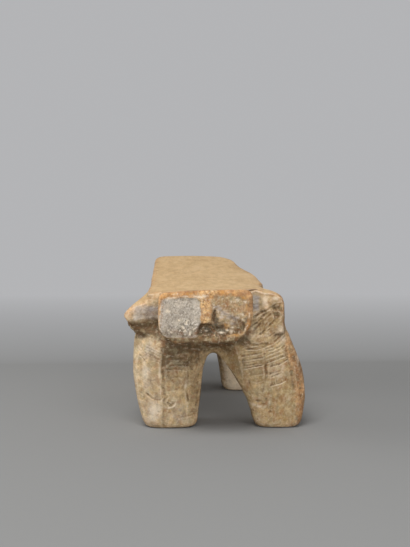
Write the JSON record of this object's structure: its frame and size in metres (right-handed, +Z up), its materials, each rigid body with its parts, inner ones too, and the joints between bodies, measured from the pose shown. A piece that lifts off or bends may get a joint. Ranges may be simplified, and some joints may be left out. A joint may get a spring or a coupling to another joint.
{
  "type": "carved stool",
  "caption": "Low four-legged stool carved from one log: a long, slightly dished seat with a blunt grip at its front end, between two rounded shoulders.",
  "frame": {"origin": "middle of the stool's footprint box, on the floor", "axes": "+Y runs along the seat from the grip to the rear end, +X to the right as seen from the grip's end, +Z up"},
  "size_m": [0.2322, 0.45, 0.2002],
  "materials": {
    "seat_wood": "worn smooth, dry and matt, faint grain, orange-brown along the edges",
    "end_grain": "greyed end grain, speckled and split, with a polished orange-brown rim",
    "shoulder_wood": "weathered grey-brown, rubbed pale on the tips",
    "leg_wood": "dusty grey-brown with tool marks and dark crevices"
  },
  "bodies": {
    "root": {"seat": "seat_wood", "grip": "end_grain", "shoulder_left": "shoulder_wood", "shoulder_right": "shoulder_wood", "leg_front_left": "leg_wood", "leg_front_right": "leg_wood", "leg_rear_left": "leg_wood", "leg_rear_right": "leg_wood"}
  },
  "joints": []
}
